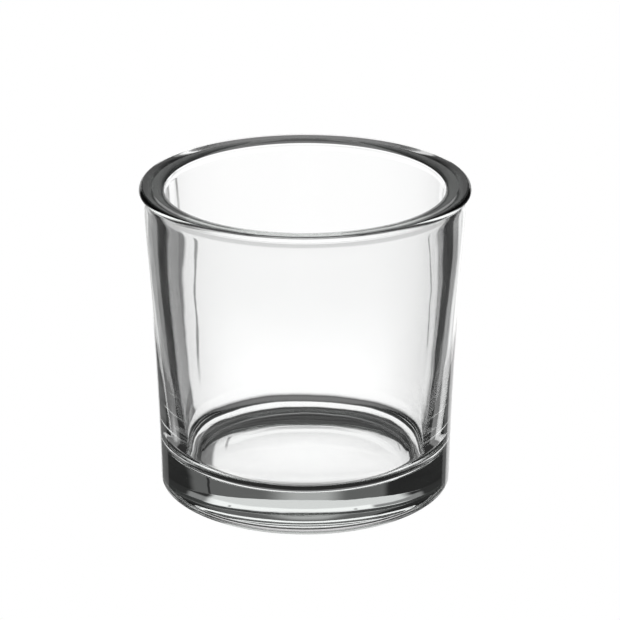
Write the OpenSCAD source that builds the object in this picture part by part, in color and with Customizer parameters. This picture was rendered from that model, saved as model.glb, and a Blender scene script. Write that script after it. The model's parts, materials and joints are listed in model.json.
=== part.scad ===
// Tealight holder: one piece of clear pressed glass.
// A thick-walled cup that flares a little into a smooth lip and stands on a heavy, hollowed base.
// The glass is one outline turned about the Z axis. The origin is the centre of the base,
// on the surface that the holder stands on. All sizes are in millimetres.

/* [Overall] */
// Height from the table to the top of the lip
height = 80; // [76:0.5:88]
// Diameter at the widest point of the lip
lip_d = 82.6; // [82.4:0.1:84]

/* [Outer wall] */
// Diameter at the neck, where the flare of the lip begins
neck_d = 79.2; // [78:0.1:79.6]
// Height of the neck above the table
neck_z = 62.8; // [58:0.1:68]
// Diameter at the waist
waist_d = 75.9; // [75.2:0.1:76.4]
// Height of the waist above the table
waist_z = 36; // [30:0.5:42]
// Diameter just above the rounded bottom corner
base_d = 73.8; // [73:0.1:74.6]
// How far in the rounding of the bottom corner reaches
corner_w = 3.7; // [2:0.1:5]
// How far up the rounding of the bottom corner reaches
corner_h = 2.1; // [1.5:0.1:4]

/* [Lip] */
// How far below the top the crease between lip and flare lies
crease_drop = 1.35; // [1.3:0.05:2.5]
// Diameter of that crease
crease_d = 81.4; // [80.4:0.1:81.6]
// How far below the top the widest point of the lip lies
edge_drop = 1.25; // [0.8:0.05:1.3]
// Width of the rounding at the outer edge of the lip
outer_round = 1; // [0.4:0.1:1.4]
// Width of the rounding at the inner edge of the lip
inner_round = 2.9; // [1.5:0.1:3.5]
// How much the top of the lip falls towards the mouth
top_slope = 0.42; // [0.4:0.01:0.8]
// How much fuller the middle of that top is than a straight slope
top_crown = 0.1; // [0:0.01:0.1]

/* [Candle well] */
// Diameter of the mouth
mouth_d = 70; // [69.6:0.1:71]
// How far below the top the rounded inner edge of the mouth ends
mouth_drop = 1.2; // [0.8:0.05:1.8]
// Diameter at the top of the well's long wall, just below that edge
well_top_d = 69.5; // [67:0.1:69.6]
// How far below the top of the lip that wall ends
well_top_drop = 2.9; // [2.5:0.1:12]
// Diameter of the well beside the waist
well_waist_d = 66.2; // [65.6:0.1:66.8]
// Diameter of the well where its wall meets the fillet
well_foot_d = 63; // [62:0.1:65]
// Thickness of the base at the edge of the floor
floor_z = 9.75; // [8:0.05:14]
// How far in from the wall the fillet round the floor reaches
fillet_w = 4.5; // [2:0.1:6]
// How far up the wall that fillet reaches
fillet_h = 5.5; // [3:0.1:8]
// How much lower the middle of the floor lies than its edge
dish = 1.8; // [0.2:0.1:2.4]

/* [Underside] */
// Diameter of the shallow hollow in the underside
hollow_d = 58.8; // [54:0.2:62]
// Depth of that hollow
hollow_depth = 1.4; // [0.6:0.05:2.4]
// How much lower than that the middle of the hollow's roof hangs
hollow_sag = 0.13; // [0:0.01:0.3]

/* [Hidden] */

glass_tint = [0.86, 0.92, 0.92, 0.6];
turn_steps = 180;     // $fn of the turned outline
wall_steps = 12;      // outline steps along each long wall
round_steps = 8;      // outline steps along each rounded edge
hollow_steps = 20;    // outline steps across the hollow
floor_steps = 12;     // outline steps from the floor's edge to its flat middle
hollow_power = 5;     // how late the hollow's roof turns down towards its edge
hollow_root = 2.45;   // how steeply it ends there
dish_power = 1.85;    // how evenly the floor falls towards its middle
seat_r = 5;           // radius of the floor's flat middle

// Where the handles of the curves lie, as shares of each curve's own height
flare_hold = 0.9;
flare_lean = 0.055;
flare_top = 0.195;
mouth_hold = 0.7;
mouth_lean = 0.03;
well_hold = 0.5;
bead_in = 0.52;       // this one is in millimetres
edge_hold = 0.55;     // a handle share that makes a quarter of an ellipse

r_lip = lip_d / 2;
r_crease = crease_d / 2;
r_mouth = mouth_d / 2;
r_floor = well_foot_d / 2 - fillet_w;
r_hollow = hollow_d / 2;
crease_z = height - crease_drop;
edge_z = height - edge_drop;
mouth_z = height - mouth_drop;
slope_z = height - top_slope;

// A point at fraction t of a cubic curve with end points a and d and handles b and c
function cubic(a, b, c, d, t) =
    pow(1 - t, 3) * a + 3 * pow(1 - t, 2) * t * b + 3 * (1 - t) * t * t * c + pow(t, 3) * d;

// The same curve as a list of points, without its first point
function curve(a, b, c, d, steps) = [for (i = [1 : steps]) cubic(a, b, c, d, i / steps)];

// Radius at height z of the smooth bow through three points [radius, height]
function bow(z, p, q, s) =
    p[0] * (z - q[1]) * (z - s[1]) / ((p[1] - q[1]) * (p[1] - s[1]))
    + q[0] * (z - p[1]) * (z - s[1]) / ((q[1] - p[1]) * (q[1] - s[1]))
    + s[0] * (z - p[1]) * (z - q[1]) / ((s[1] - p[1]) * (s[1] - q[1]));

// How much that bow's radius grows over the last millimetre up to height z
function lean(z, p, q, s) = bow(z, p, q, s) - bow(z - 1, p, q, s);

// The wall along that bow from height z0 to height z1, without its first point
function wall(z0, z1, p, q, s) =
    [for (i = [1 : wall_steps]) let (z = z0 + (z1 - z0) * i / wall_steps) [bow(z, p, q, s), z]];

// A quarter of an ellipse about [cx, cz] from angle a0 to angle a1, without its first point
function quarter(cx, cz, w, h, a0, a1) =
    [for (i = [1 : round_steps]) let (a = a0 + (a1 - a0) * i / round_steps)
        [cx + w * cos(a), cz + h * sin(a)]];

// The hollow's roof, nearly level in the middle and turning down to the foot ring at its edge
hollow = [for (i = [0 : hollow_steps]) let (t = 1 - pow(1 - i / hollow_steps, 1.6))
    [r_hollow * t, hollow_depth * pow(1 - pow(t, hollow_power), 1 / hollow_root)
        - hollow_sag * (1 - t * t)]];

// The foot ring, the bottom corner and the outer wall up to the neck
outer_base = [base_d / 2, corner_h];
outer_waist = [waist_d / 2, waist_z];
outer_neck = [neck_d / 2, neck_z];
outer = concat(
    [[base_d / 2 - corner_w, 0]],
    quarter(base_d / 2 - corner_w, corner_h, corner_w, corner_h, -90, 0),
    wall(corner_h, neck_z, outer_base, outer_waist, outer_neck));

// From the neck out to the crease, and round the outer edge of the lip onto its top
flare_h = crease_z - neck_z;
outer_lean = lean(neck_z, outer_base, outer_waist, outer_neck);
crease = [r_crease, crease_z];
lip_out = concat(
    curve(outer_neck, outer_neck + flare_hold * flare_h * [outer_lean, 1],
        crease - flare_h * [flare_lean, flare_top], crease, round_steps),
    curve(crease, [r_lip - bead_in, edge_z],
        [r_lip, edge_z - 0.6 * (edge_z - crease_z)], [r_lip, edge_z], 5),
    curve([r_lip, edge_z], [r_lip, edge_z + edge_hold * edge_drop],
        [r_lip - edge_hold * outer_round, height], [r_lip - outer_round, height], round_steps));

// The top of the lip, from its outer edge to where the rounding of the mouth begins
top_out = r_lip - outer_round;
top_in = r_mouth + inner_round;
lip_top = [for (i = [1 : 6]) let (t = i / 6)
    [top_out + (top_in - top_out) * t, height - top_slope * t + 4 * top_crown * t * (1 - t)]];

// Down over the inner edge of the mouth to the wall of the well
inner_top = [well_top_d / 2, height - well_top_drop];
inner_waist = [well_waist_d / 2, waist_z];
inner_foot = [well_foot_d / 2, floor_z + fillet_h];
inner_lean = lean(inner_top[1], inner_top, inner_waist, inner_foot);
mouth_h = mouth_z - inner_top[1];
lip_in = concat(
    curve([top_in, slope_z], [r_mouth + (1 - edge_hold) * inner_round, slope_z],
        [r_mouth, mouth_z + edge_hold * (slope_z - mouth_z)], [r_mouth, mouth_z], round_steps),
    curve([r_mouth, mouth_z], [r_mouth - mouth_lean * mouth_h, mouth_z - mouth_hold * mouth_h],
        inner_top + well_hold * mouth_h * [inner_lean, 1], inner_top, round_steps));

// The wall of the well, its fillet and its dished floor with the flat middle
well = concat(
    wall(inner_top[1], floor_z + fillet_h, inner_top, inner_waist, inner_foot),
    quarter(r_floor, floor_z + fillet_h, fillet_w, fillet_h, 0, -90),
    [for (i = [1 : floor_steps]) let (t = 1 - i / floor_steps)
        [seat_r + (r_floor - seat_r) * t, floor_z - dish * (1 - pow(t, dish_power))]],
    [[0, floor_z - dish]]);

// The whole holder: one solid of glass
module glass_holder() {
    color(glass_tint)
        rotate_extrude($fn = turn_steps)
            polygon(concat(hollow, outer, lip_out, lip_top, lip_in, well));
}

glass_holder();
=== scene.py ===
# %% [markdown]
# # A tealight holder in clear pressed glass
#
# The real object is a single piece of glass: a thick-walled cup that was pressed in a mould, with
# a heavy base, a shallow hollow underneath and a lip that flares out to a flat, fire-polished top.
# Nothing moves and nothing is fastened to it. That makes it a lesson in two things: how to turn
# one exact outline into a smooth solid with Geometry Nodes, and how to light glass, which has no
# colour of its own and shows only what stands around it.
#
# The CAD model is loaded first. It gives the height, the width and the height of the floor of the
# candle well, so that the glass made here has the sizes of the real one.

# %% Load the frame
import json
import math

import bmesh
import bpy
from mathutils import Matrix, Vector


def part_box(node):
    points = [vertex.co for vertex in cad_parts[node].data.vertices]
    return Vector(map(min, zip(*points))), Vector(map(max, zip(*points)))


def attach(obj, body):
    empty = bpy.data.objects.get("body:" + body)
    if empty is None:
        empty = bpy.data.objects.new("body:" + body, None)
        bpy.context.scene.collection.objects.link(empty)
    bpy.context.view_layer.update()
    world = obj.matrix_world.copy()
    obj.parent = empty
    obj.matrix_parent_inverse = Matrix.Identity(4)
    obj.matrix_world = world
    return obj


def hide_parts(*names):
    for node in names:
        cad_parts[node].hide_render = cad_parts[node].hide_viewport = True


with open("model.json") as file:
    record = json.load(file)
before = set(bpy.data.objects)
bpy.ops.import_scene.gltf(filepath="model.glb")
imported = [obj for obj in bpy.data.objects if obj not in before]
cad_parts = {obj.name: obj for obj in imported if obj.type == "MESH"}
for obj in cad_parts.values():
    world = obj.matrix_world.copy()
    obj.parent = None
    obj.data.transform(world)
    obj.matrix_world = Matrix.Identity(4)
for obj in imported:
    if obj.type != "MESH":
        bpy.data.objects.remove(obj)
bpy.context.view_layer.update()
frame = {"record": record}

# %% [markdown]
# ## Sizes
#
# A glass is measured the way a turner would measure it: radii and heights along one outline.
# The overall height and the radius of the lip come from the loaded model, and so does the height
# of the flat middle of the floor, where a tealight stands. The other sizes are named here in
# millimetres, as on the drawing of the mould, and one factor turns them into metres.

# %% Sizes of the glass, in millimetres
MM = 0.001
low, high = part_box("glass_holder")
height = (high.z - low.z) / MM
lip_r = (high.x - low.x) / 2 / MM
mounts = {mount["name"]: mount for mount in frame["record"]["mounts"]}
seat_z = mounts["tealight_seat"]["pos_m"][2] / MM

neck_r, neck_z = 39.6, 62.8         # outside, just under the flare of the lip
waist_r, waist_z = 37.95, 36.0      # outside, at half height
base_r = 36.9                       # outside, just above the bottom corner
corner_w, corner_h = 3.7, 2.1       # the bottom corner is a quarter of an ellipse

crease_r, crease_drop = 40.7, 1.35  # the crease where the mould ended, under the lip
edge_drop = 1.25                    # the widest point lies this far below the top
outer_round = 1.0                   # how wide the rounding of the lip's outer edge is
inner_round = 2.9                   # how wide the rounding of its inner edge is
top_slope = 0.42                    # the top falls this much towards the mouth
top_crown = 0.1                     # and it is this much fuller in the middle
mouth_r, mouth_drop = 35.0, 1.2     # the inner edge of the mouth

well_top_r, well_top_z = 34.75, height - 2.9   # inside, just below the mouth
well_waist_r = 33.1                 # inside, at half height
well_foot_r = 31.5                  # inside, where the wall meets the fillet
fillet_w, fillet_h = 4.5, 5.5       # the fillet round the floor is a quarter of an ellipse
dish, dish_power = 1.8, 1.85        # how much lower the middle of the floor lies
seat_r = 5.0                        # the middle itself is flat
floor_z = seat_z + dish             # the floor at its edge

hollow_r, hollow_depth = 29.4, 1.4  # the hollow in the underside
hollow_power, hollow_root = 5.0, 2.45   # how late its roof turns down, and how steeply it ends
hollow_sag = 0.13                   # how much lower the middle of its roof hangs

flare_hold, flare_lean, flare_top = 0.9, 0.055, 0.195   # handles of the flare, as shares of it
bead_in, bead_hold = 0.52, 0.6      # handles over the crease: in millimetres, and as a share
edge_hold = 0.55                    # a handle share that makes a quarter of an ellipse
mouth_hold, well_hold, mouth_lean = 0.7, 0.5, 0.03      # handles below the mouth, as shares
print(f"height {height:.1f} mm, lip radius {lip_r:.1f} mm, floor of the well at {floor_z:.1f} mm")

# %% [markdown]
# ## The outline
#
# One half of a cut through the glass is a closed line: along the hollow of the underside, round
# the bottom corner, up the outside, over the lip, down the wall of the well and in along its
# floor. Long walls are gentle bows through three measured radii, and everything round is a curve
# with handles or a quarter of an ellipse. Glass shows every kink, so the curved parts have many
# more points than their size seems to ask for. The crease under the lip is a true edge: a short
# step on either side of it keeps the smooth shading from smearing over it.
#
# Each point also says how wavy the surface may be there. Pressed glass is never quite even: the
# walls and the floor of the well ripple a little, while the lip is crisp. Near the table the
# ripple fades to nothing, so that the glass stands flat on its foot.

# %% Helpers for the outline
def cubic(a, b, c, d, steps):
    """Points of a curve from a to d with handles b and c, without the first point."""
    points = []
    for i in range(1, steps + 1):
        t = i / steps
        weights = ((1 - t) ** 3, 3 * (1 - t) ** 2 * t, 3 * (1 - t) * t * t, t ** 3)
        points.append(tuple(sum(w * p[k] for w, p in zip(weights, (a, b, c, d))) for k in (0, 1)))
    return points


def bow_radius(z, p, q, s):
    """Radius at height z of the smooth bow through three points (radius, height)."""
    total = 0.0
    for a, b, c in ((p, q, s), (q, p, s), (s, p, q)):
        total += a[0] * (z - b[1]) * (z - c[1]) / ((a[1] - b[1]) * (a[1] - c[1]))
    return total


def bow(start_z, end_z, p, q, s, steps):
    """Points along that bow between two heights, without the first point."""
    heights = [start_z + (end_z - start_z) * i / steps for i in range(1, steps + 1)]
    return [(bow_radius(z, p, q, s), z) for z in heights]


def between(a, b, share):
    """The point that lies the given share of the way from a to b."""
    return tuple((1 - share) * p + share * q for p, q in zip(a, b))


def quarter(centre, width, rise, first, last, steps):
    """Points of a quarter of an ellipse between two angles in degrees, without the first point."""
    points = []
    for i in range(1, steps + 1):
        angle = math.radians(first + (last - first) * i / steps)
        points.append((centre[0] + width * math.cos(angle), centre[1] + rise * math.sin(angle)))
    return points


# %% The outline, part by part
wall_steps, curve_steps, edge_steps = 40, 24, 14    # points along each wall, curve and edge
hollow_steps, floor_steps, top_steps, bead_steps, mouth_steps = 60, 40, 12, 8, 12
hollow_crowd = 1.6                  # crowds the points of the hollow towards its steep edge
flare_guard, bead_guard = 0.97, 0.1     # how far along their steps the two guard points stand

underside = []
for i in range(hollow_steps + 1):
    t = 1 - (1 - i / hollow_steps) ** hollow_crowd
    roof = hollow_depth * (1 - t ** hollow_power) ** (1 / hollow_root)
    underside.append((hollow_r * t, roof - hollow_sag * (1 - t * t)))
foot = [(base_r - corner_w, 0.0)]
corner = quarter((base_r - corner_w, corner_h), corner_w, corner_h, -90, 0, curve_steps)

base_point = (base_r, corner_h)
waist_point = (waist_r, waist_z)
neck_point = (neck_r, neck_z)
outside = bow(corner_h, neck_z, base_point, waist_point, neck_point, wall_steps)
outer_lean = neck_r - bow_radius(neck_z - 1, base_point, waist_point, neck_point)

crease_point = (crease_r, height - crease_drop)
flare_h = crease_point[1] - neck_z
flare = cubic(neck_point, (neck_r + flare_hold * outer_lean * flare_h, neck_z + flare_hold * flare_h),
              (crease_r - flare_lean * flare_h, crease_point[1] - flare_top * flare_h),
              crease_point, curve_steps)
flare.insert(-1, between(flare[-2], flare[-1], flare_guard))
edge_point = (lip_r, height - edge_drop)
ledge_h = edge_point[1] - crease_point[1]
bead = cubic(crease_point, (lip_r - bead_in, crease_point[1] + ledge_h),
             (lip_r, edge_point[1] - bead_hold * ledge_h), edge_point, bead_steps)
bead.insert(0, between(crease_point, bead[0], bead_guard))
top_out = (lip_r - outer_round, height)
top_in = (mouth_r + inner_round, height - top_slope)
mouth_point = (mouth_r, height - mouth_drop)
lip_out = cubic(edge_point, (lip_r, edge_point[1] + edge_hold * edge_drop),
                (lip_r - edge_hold * outer_round, height), top_out, edge_steps)
lip_top = []
for i in range(1, top_steps + 1):
    t = i / top_steps
    lip_top.append((top_out[0] + (top_in[0] - top_out[0]) * t,
                    top_out[1] - top_slope * t + top_crown * 4 * t * (1 - t)))
lip_in = cubic(top_in, (mouth_r + (1 - edge_hold) * inner_round, top_in[1]),
               (mouth_r, mouth_point[1] + edge_hold * (top_in[1] - mouth_point[1])),
               mouth_point, edge_steps)

well_top = (well_top_r, well_top_z)
well_waist = (well_waist_r, waist_z)
well_foot = (well_foot_r, floor_z + fillet_h)
inner_lean = well_top_r - bow_radius(well_top_z - 1, well_top, well_waist, well_foot)
mouth_h = mouth_point[1] - well_top_z
mouth = cubic(mouth_point,
              (mouth_r - mouth_lean * mouth_h, mouth_point[1] - mouth_hold * mouth_h),
              (well_top_r + well_hold * mouth_h * inner_lean, well_top_z + well_hold * mouth_h),
              well_top, mouth_steps)
inside = bow(well_top_z, floor_z + fillet_h, well_top, well_waist, well_foot, wall_steps)

floor_r = well_foot_r - fillet_w
fillet = quarter((floor_r, floor_z + fillet_h), fillet_w, fillet_h, 0, -90, curve_steps)
floor = []
for i in range(1, floor_steps + 1):
    t = 1 - i / floor_steps
    floor.append((seat_r + (floor_r - seat_r) * t, floor_z - dish * (1 - t ** dish_power)))
floor.append((0.0, floor_z - dish))

# Each part of the outline with how wavy it may be, from 0, crisp, to 1
parts = [(underside, 0.6), (foot, 0.0), (corner, 0.5), (outside, 0.6), (flare, 0.3), (bead, 0.0),
         (lip_out, 0.0), (lip_top, 0.0), (lip_in, 0.0), (mouth, 0.5), (inside, 1.0), (fillet, 0.5),
         (floor, 0.8)]
ripple_from = 1.0                   # below this height, in millimetres, the ripple fades to nothing
outline = [point for points, _ in parts for point in points]
waviness = [wavy * min(z / ripple_from, 1.0) for points, wavy in parts for _, z in points]
print(f"the outline has {len(outline)} points")

# %% [markdown]
# ## Turning the outline
#
# A turned shape follows one rule, so Geometry Nodes can make it: every point of the outline goes
# round the axis in even steps. The outline is a chain of edges in the XZ plane. The tree lays out
# a grid that has one row for each outline point and one column for each step of the turn, looks up
# the row's point, and swings it to the column's angle. The seam and the two points on the axis are
# then merged, which closes the solid. A Screw modifier would do as much, but it couldn't carry
# the waviness along, and here that is looked up the same way as the position.
#
# The ripple comes last. A seeded noise pushes each point in or out along its normal by a few
# hundredths of a millimetre. That is far too little to see on the shape itself, and just enough to
# bend the light a little unevenly, as real pressed glass does.

# %% The outline as a chain of edges
chain = bpy.data.meshes.new("outline")
chain.from_pydata([(r * MM, 0.0, z * MM) for r, z in outline],
                  [(i, i + 1) for i in range(len(outline) - 1)], [])
wavy_layer = chain.attributes.new("waviness", "FLOAT", "POINT")
wavy_layer.data.foreach_set("value", waviness)
turned = bpy.data.objects.new("turned_glass", chain)
bpy.context.scene.collection.objects.link(turned)
print(f"a chain of {len(chain.edges)} edges")


# %% The tree that turns it
def node(tree, kind, inputs=None, **settings):
    """Adds a node, sets its settings, and links or fills its inputs."""
    made = tree.nodes.new(kind)
    for name, value in settings.items():
        setattr(made, name, value)
    for key, value in (inputs or {}).items():
        if isinstance(value, bpy.types.NodeSocket):
            tree.links.new(value, made.inputs[key])
        else:
            made.inputs[key].default_value = value
    return made


def make_lathe_tree():
    """A tree that turns a chain of edges about Z and ripples the surface."""
    tree = bpy.data.node_groups.new("turn_outline", "GeometryNodeTree")
    face = tree.interface
    face.new_socket("Outline", in_out="INPUT", socket_type="NodeSocketGeometry")
    for name, kind in (("Segments", "Int"), ("Ripple Depth", "Float"), ("Ripple Size", "Float"),
                       ("Seed", "Float"), ("Material", "Material")):
        face.new_socket(name, in_out="INPUT", socket_type="NodeSocket" + kind)
    face.new_socket("Glass", in_out="OUTPUT", socket_type="NodeSocketGeometry")
    given = tree.nodes.new("NodeGroupInput").outputs

    count = node(tree, "GeometryNodeAttributeDomainSize", {"Geometry": given["Outline"]})
    columns = node(tree, "FunctionNodeIntegerMath", {0: given["Segments"], 1: 1}, operation="ADD")
    grid = node(tree, "GeometryNodeMeshGrid", {
        "Vertices X": count.outputs["Point Count"], "Vertices Y": columns.outputs[0]})
    index = tree.nodes.new("GeometryNodeInputIndex").outputs[0]
    row = node(tree, "FunctionNodeIntegerMath", {0: index, 1: columns.outputs[0]},
               operation="DIVIDE_FLOOR").outputs[0]
    column = node(tree, "FunctionNodeIntegerMath", {0: index, 1: columns.outputs[0]},
                  operation="MODULO").outputs[0]

    place = node(tree, "GeometryNodeSampleIndex", {
        "Geometry": given["Outline"], "Value": tree.nodes.new("GeometryNodeInputPosition").outputs[0],
        "Index": row}, data_type="FLOAT_VECTOR")
    point = node(tree, "ShaderNodeSeparateXYZ", {0: place.outputs[0]})
    wavy = node(tree, "GeometryNodeInputNamedAttribute", {"Name": "waviness"}, data_type="FLOAT")
    wave = node(tree, "GeometryNodeSampleIndex", {
        "Geometry": given["Outline"], "Value": wavy.outputs["Attribute"], "Index": row},
        data_type="FLOAT")

    share = node(tree, "ShaderNodeMath", {0: column, 1: given["Segments"]}, operation="DIVIDE")
    angle = node(tree, "ShaderNodeMath", {0: share.outputs[0], 1: math.tau}, operation="MULTIPLY")
    swing = []
    for function in ("COSINE", "SINE"):
        turn = node(tree, "ShaderNodeMath", {0: angle.outputs[0]}, operation=function)
        swing.append(node(tree, "ShaderNodeMath", {0: point.outputs["X"], 1: turn.outputs[0]},
                          operation="MULTIPLY").outputs[0])
    spot = node(tree, "ShaderNodeCombineXYZ", {
        "X": swing[0], "Y": swing[1], "Z": point.outputs["Z"]})

    carried = node(tree, "GeometryNodeStoreNamedAttribute", {
        "Geometry": grid.outputs["Mesh"], "Name": "waviness", "Value": wave.outputs[0]},
        data_type="FLOAT", domain="POINT")
    turned_grid = node(tree, "GeometryNodeSetPosition", {
        "Geometry": carried.outputs[0], "Position": spot.outputs[0]})
    outward = node(tree, "GeometryNodeFlipFaces", {"Mesh": turned_grid.outputs[0]})
    closed = node(tree, "GeometryNodeMergeByDistance", {
        "Geometry": outward.outputs[0], "Distance": 1e-6})

    noise = node(tree, "ShaderNodeTexNoise", {
        "W": given["Seed"], "Scale": given["Ripple Size"], "Detail": 1.5},
        noise_dimensions="4D")
    centred = node(tree, "ShaderNodeMath", {0: noise.outputs["Fac"], 1: 0.5}, operation="SUBTRACT")
    depth = node(tree, "ShaderNodeMath", {0: centred.outputs[0], 1: given["Ripple Depth"]},
                 operation="MULTIPLY")
    held = node(tree, "GeometryNodeInputNamedAttribute", {"Name": "waviness"}, data_type="FLOAT")
    local = node(tree, "ShaderNodeMath", {0: depth.outputs[0], 1: held.outputs["Attribute"]},
                 operation="MULTIPLY")
    push = node(tree, "ShaderNodeVectorMath", {
        0: tree.nodes.new("GeometryNodeInputNormal").outputs[0], "Scale": local.outputs[0]},
        operation="SCALE")
    rippled = node(tree, "GeometryNodeSetPosition", {
        "Geometry": closed.outputs[0], "Offset": push.outputs[0]})
    smooth = node(tree, "GeometryNodeSetShadeSmooth", {"Geometry": rippled.outputs[0]})
    plain = node(tree, "GeometryNodeRealizeInstances", {"Geometry": smooth.outputs[0]})
    finished = node(tree, "GeometryNodeSetMaterial", {
        "Geometry": plain.outputs[0], "Material": given["Material"]})
    out = tree.nodes.new("NodeGroupOutput")
    tree.links.new(finished.outputs[0], out.inputs["Glass"])
    return tree


lathe_tree = make_lathe_tree()
print(f"the lathe tree has {len(lathe_tree.nodes)} nodes")

# %% [markdown]
# ## The glass
#
# Clear soda glass is a Principled shader with its transmission full on and an index of refraction
# of 1.52. Those numbers are the same all over, so they sit on the shader's own sockets. What
# varies is the finish: fire-polished glass is mirror smooth, but handling leaves a very faint
# haze in patches, and the surface keeps a fine orange-peel from the hot mould. Both are noise on
# object coordinates, so that they stay with the glass from every side. Inside, a weak volume
# absorption takes a little of the light over the long way through the base, which gives the
# thick parts their quiet grey-green.

# %% The glass material
def clear_glass():
    """Clear soda glass with a fire-polished, slightly uneven skin."""
    made = bpy.data.materials.new("clear_glass")
    made.use_nodes = True
    tree = made.node_tree
    tree.nodes.clear()
    spot = tree.nodes.new("ShaderNodeTexCoord").outputs["Object"]
    haze = node(tree, "ShaderNodeTexNoise", {"Vector": spot, "Scale": 45.0, "Detail": 3.0})
    finish = node(tree, "ShaderNodeMapRange", {
        "Value": haze.outputs["Fac"], "From Min": 0.45, "From Max": 0.8, "To Min": 0.0,
        "To Max": 0.02})
    peel = node(tree, "ShaderNodeTexNoise", {"Vector": spot, "Scale": 260.0, "Detail": 2.0})
    bump = node(tree, "ShaderNodeBump", {
        "Strength": 0.12, "Distance": 0.00003, "Height": peel.outputs["Fac"]})
    shader = node(tree, "ShaderNodeBsdfPrincipled", {
        "Base Color": (1.0, 1.0, 1.0, 1.0), "IOR": 1.52, "Transmission Weight": 1.0,
        "Roughness": finish.outputs["Result"], "Normal": bump.outputs["Normal"]})
    body = node(tree, "ShaderNodeVolumeAbsorption", {
        "Color": (0.82, 0.87, 0.84, 1.0), "Density": 8.0})
    out = tree.nodes.new("ShaderNodeOutputMaterial")
    tree.links.new(shader.outputs[0], out.inputs["Surface"])
    tree.links.new(body.outputs[0], out.inputs["Volume"])
    return made


glass = clear_glass()
print("made the material", glass.name)

# %% [markdown]
# ## One plain mesh
#
# The modifier's inputs are set by each socket's identifier before it is first evaluated. The
# result is then copied out as a plain mesh and the modifier is removed, because the finished
# piece has to stand on its own. The measurements that follow are the ones a maker would want:
# is it closed, do its faces point outwards, and how heavy is the glass?

# %% Turn the outline and keep the result as a plain mesh
turn_segments = 310
ripple_depth = 0.1 * MM             # from the deepest dip to the highest crest, where it is wavy
settings = {"Segments": turn_segments, "Ripple Depth": ripple_depth, "Ripple Size": 70.0,
            "Seed": 3.0, "Material": glass}
modifier = turned.modifiers.new("turn", "NODES")
modifier.node_group = lathe_tree
for socket in lathe_tree.interface.items_tree:
    if socket.in_out == "INPUT" and socket.name in settings:
        modifier[socket.identifier] = settings[socket.name]
graph = bpy.context.evaluated_depsgraph_get()
solid = bpy.data.meshes.new_from_object(turned.evaluated_get(graph))
turned.modifiers.clear()
turned.data = solid
bpy.data.meshes.remove(chain)

check = bmesh.new()
check.from_mesh(solid)
open_edges = sum(1 for edge in check.edges if len(edge.link_faces) != 2)
volume = check.calc_volume(signed=True)
triangles = sum(len(face.verts) - 2 for face in check.faces)
check.free()
glass_density = 2500.0
print(f"{triangles} triangles, {open_edges} open edges, signed volume {volume * 1e6:.1f} cm3, "
      f"about {volume * glass_density * 1000:.0f} g of glass")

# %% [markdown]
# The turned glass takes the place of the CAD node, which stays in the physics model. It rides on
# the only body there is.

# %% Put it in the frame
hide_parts("glass_holder")
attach(turned, "root")
print("turned_glass stands for glass_holder")

# %% [markdown]
# ## Camera
#
# A long lens, a little above the object and looking down on it, so that the rim shows as a
# slender ellipse and the verticals hardly converge.

# %% The camera
camera_drop = math.radians(20.8)
camera_far = 0.778
aim = (0.0012, 0.0, 0.0462)
camera = bpy.data.objects.new("camera", bpy.data.cameras.new("camera"))
bpy.context.scene.collection.objects.link(camera)
bpy.context.scene.camera = camera
camera.data.sensor_width = 36.0
camera.data.lens = 179.2
camera.location = (aim[0], aim[1] - camera_far * math.cos(camera_drop),
                   aim[2] + camera_far * math.sin(camera_drop))
camera.rotation_euler = (math.radians(90) - camera_drop, 0.0, 0.0)
print(f"the camera stands {camera_far} m away and looks {math.degrees(camera_drop):.1f} degrees down")

# %% [markdown]
# ## Light for glass
#
# Clear glass on a white table, lit from all sides, vanishes: there is nothing dark for its edges
# to show. Photographers solve that with a bright field. A glowing white window stands behind the
# glass, opposite the camera, and everything around the window is dark. Light that passes straight
# through stays white, and wherever the glass bends it steeply, at the lip, in the wall seen edge
# on and in the thick base, it shows the dark surroundings. The outline is drawn by refraction.
#
# Here the window and its surroundings are painted on the inside of a light tent, a sphere around
# the object that turns with the camera, so that every view has its window opposite. The window is
# brightest in the middle. Greys flank it and lie above it, a thin bar near each of its sides
# draws the fine upright lines in the wall, and beyond them, and behind the camera, it is dark.
# The tent and the table are only staging. The camera doesn't see the tent, and the glass doesn't
# see the table.

# %% A glowing surface and soft steps across it
def glowing(name, level):
    """A material that glows evenly."""
    made = bpy.data.materials.new(name)
    made.use_nodes = True
    tree = made.node_tree
    tree.nodes.clear()
    glow = node(tree, "ShaderNodeEmission", {"Color": (level, level, level, 1.0)})
    out = tree.nodes.new("ShaderNodeOutputMaterial")
    tree.links.new(glow.outputs[0], out.inputs["Surface"])
    return made


def ramp_up(tree, value, start, end):
    """0 below start and 1 above end, with a soft step between them."""
    step = node(tree, "ShaderNodeMapRange", {"Value": value, "From Min": start, "From Max": end},
                interpolation_type="SMOOTHSTEP")
    return step.outputs["Result"]


def both(tree, a, b):
    """The product of two values: 1 only where both are 1."""
    return node(tree, "ShaderNodeMath", {0: a, 1: b}, operation="MULTIPLY").outputs[0]


def less(tree, a):
    """What is left of 1 when a is taken away."""
    return node(tree, "ShaderNodeMath", {0: 1.0, 1: a}, operation="SUBTRACT").outputs[0]


def blend(tree, share, a, b):
    """a where share is 0, b where it is 1."""
    mixed = node(tree, "ShaderNodeMix", {"Factor": share, "A": a, "B": b}, data_type="FLOAT")
    return mixed.outputs["Result"]


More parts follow.
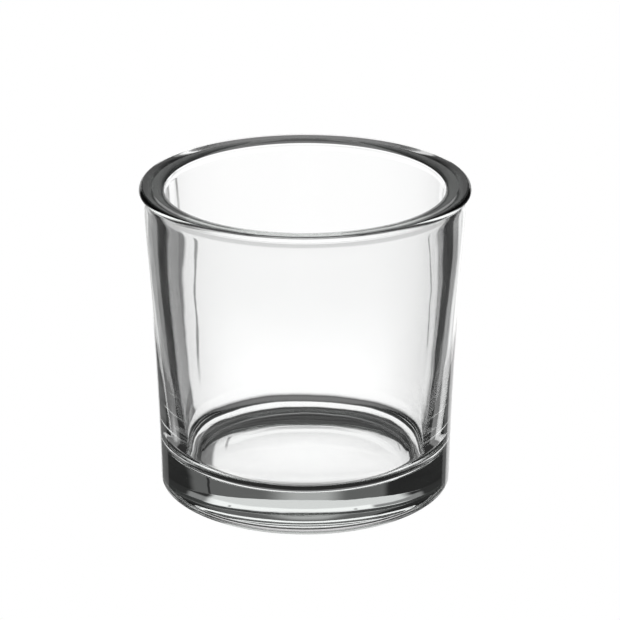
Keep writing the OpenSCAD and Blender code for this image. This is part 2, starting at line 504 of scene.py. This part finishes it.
# %% The light tent
tent_r = 1.6            # in metres
window_level = 1.08     # the window opposite the camera
middle_level = 1.25     # its middle
sill_level = 1.2        # its lower edge
bar_level = 0.4         # the two thin bars in front of it
upper_level = 0.78      # the pale surface round the window
shade_level = 0.27      # the shade on its left
glow_level = 0.27       # the grey beyond that, on both sides
side_level = 0.03       # the dark cards beside it
table_level = 0.22      # the table below it
lamp_level = 0.45       # the lamp in the roof
roof_level = 0.13       # the roof round the lamp
dark_level = 0.02       # all else in front
behind_level = 0.075    # all that is behind the camera


def tent_material():
    """The tent's inner side: a white window opposite the camera, greys round it, dark beyond."""
    made = bpy.data.materials.new("light_tent")
    made.use_nodes = True
    tree = made.node_tree
    tree.nodes.clear()
    spot = tree.nodes.new("ShaderNodeTexCoord").outputs["Object"]
    point = node(tree, "ShaderNodeSeparateXYZ", {0: spot})
    forward = node(tree, "ShaderNodeMath", {0: point.outputs["Z"], 1: -1.0}, operation="MULTIPLY")
    flat = node(tree, "ShaderNodeVectorMath", {0: node(tree, "ShaderNodeCombineXYZ", {
        "X": point.outputs["X"], "Y": forward.outputs[0]}).outputs[0]}, operation="LENGTH")
    side = node(tree, "ShaderNodeMath", {0: point.outputs["X"], 1: forward.outputs[0]},
                operation="ARCTAN2")
    up = node(tree, "ShaderNodeMath", {0: point.outputs["Y"], 1: flat.outputs["Value"]},
              operation="ARCTAN2")
    side = node(tree, "ShaderNodeMath", {0: side.outputs[0]}, operation="DEGREES").outputs[0]
    up = node(tree, "ShaderNodeMath", {0: up.outputs[0]}, operation="DEGREES").outputs[0]

    def patch(left, right, bottom, top):
        """1 inside a soft-edged rectangle of the tent and 0 outside, its edges in degrees."""
        across = both(tree, ramp_up(tree, side, *left), less(tree, ramp_up(tree, side, *right)))
        upright = both(tree, ramp_up(tree, up, *bottom), less(tree, ramp_up(tree, up, *top)))
        return both(tree, across, upright)

    level = behind_level
    for shape, brightness in (
            (patch((-110, -90), (90, 110), (-100, -99), (99, 100)), dark_level),
            # Above: the roof, a thin dark gap in it, and the lamp
            (patch((-33, -29), (47, 54), (31, 36), (62, 80)), roof_level),
            (patch((38.2, 38.8), (39.6, 40.2), (31, 36), (62, 80)), side_level),
            (patch((-16, -6), (2, 16), (33, 38), (44, 56)), lamp_level),
            # Below and beside: the table, the dark cards and the greys
            (patch((-46, -34), (34, 46), (-70, -50), (-30, -26)), table_level),
            (patch((-75, -60), (60, 75), (-35, -25), (12, 25)), side_level),
            (patch((-37, -33), (34, 37), (-32, -25), (5, 9)), glow_level),
            (patch((-32, -26), (25, 28), (-30, -25), (30, 34)), upper_level),
            (patch((-37, -33), (-17.6, -16), (-15, -11), (3, 6)), shade_level),
            # Opposite: the window, its middle, its sill and the two bars
            (patch((-17, -15.5), (23, 27), (-26, -23), (6, 9)), window_level),
            (patch((-12, -3), (3, 12), (-22, -16), (-6, 4)), middle_level),
            (patch((-18, -14), (20, 24), (-24, -20), (-12, -3)), sill_level),
            (patch((-12.6, -12.1), (-11.8, -11.3), (-6, -3), (3, 5)), bar_level),
            (patch((18.0, 18.4), (18.8, 19.2), (-5, -2), (2, 4)), bar_level)):
        level = blend(tree, shape, level, brightness)
    glow = node(tree, "ShaderNodeEmission", {"Strength": level})
    out = tree.nodes.new("ShaderNodeOutputMaterial")
    tree.links.new(glow.outputs[0], out.inputs["Surface"])
    return made


tent_mesh = bpy.data.meshes.new("light_tent")
shell = bmesh.new()
bmesh.ops.create_icosphere(shell, subdivisions=5, radius=tent_r)
shell.to_mesh(tent_mesh)
shell.free()
tent = bpy.data.objects.new("light_tent", tent_mesh)
bpy.context.scene.collection.objects.link(tent)
tent.parent = camera
tent.location = (0.0, 0.0, -camera_far)
tent_mesh.materials.append(tent_material())
tent.visible_camera = False
print(f"the tent has {len(tent_mesh.polygons)} faces")

# %% [markdown]
# ## Table and backdrop
#
# A pale sweep: a round white table that curves up into a white wall, so that there is no horizon.
# It is seen directly and only directly.

# %% The sweep
sweep_r, sweep_bend, sweep_h = 1.6, 0.5, 2.2    # flat radius, bend and height, in metres
sweep = [(0.0, 0.0)] + [(sweep_r * i / 4, 0.0) for i in range(1, 5)]
sweep += quarter((sweep_r, sweep_bend), sweep_bend, sweep_bend, -90, 0, 12)
sweep += [(sweep_r + sweep_bend, sweep_h)]
sweep_mesh = bpy.data.meshes.new("table_sweep")
sweep_shell = bmesh.new()
rail = [sweep_shell.verts.new((r, 0.0, z)) for r, z in sweep]
rail_edges = [sweep_shell.edges.new(pair) for pair in zip(rail, rail[1:])]
bmesh.ops.spin(sweep_shell, geom=rail + rail_edges, axis=(0, 0, 1), cent=(0, 0, 0),
               angle=math.tau, steps=96, use_merge=True)
bmesh.ops.remove_doubles(sweep_shell, verts=sweep_shell.verts, dist=1e-5)
sweep_shell.to_mesh(sweep_mesh)
sweep_shell.free()
table = bpy.data.objects.new("table_sweep", sweep_mesh)
bpy.context.scene.collection.objects.link(table)
sweep_mesh.materials.append(glowing("pale_table", 1.0))
for kind in ("visible_diffuse", "visible_glossy", "visible_transmission", "visible_shadow"):
    setattr(table, kind, False)

world = bpy.data.worlds.new("studio")
world.use_nodes = True
world.node_tree.nodes["Background"].inputs["Color"].default_value = (0.03, 0.03, 0.03, 1.0)
bpy.context.scene.world = world
bpy.context.scene.view_settings.view_transform = "Standard"
bpy.context.scene.cycles.max_bounces = 32
bpy.context.scene.cycles.transmission_bounces = 32
bpy.context.scene.cycles.glossy_bounces = 16
print("the studio is ready")
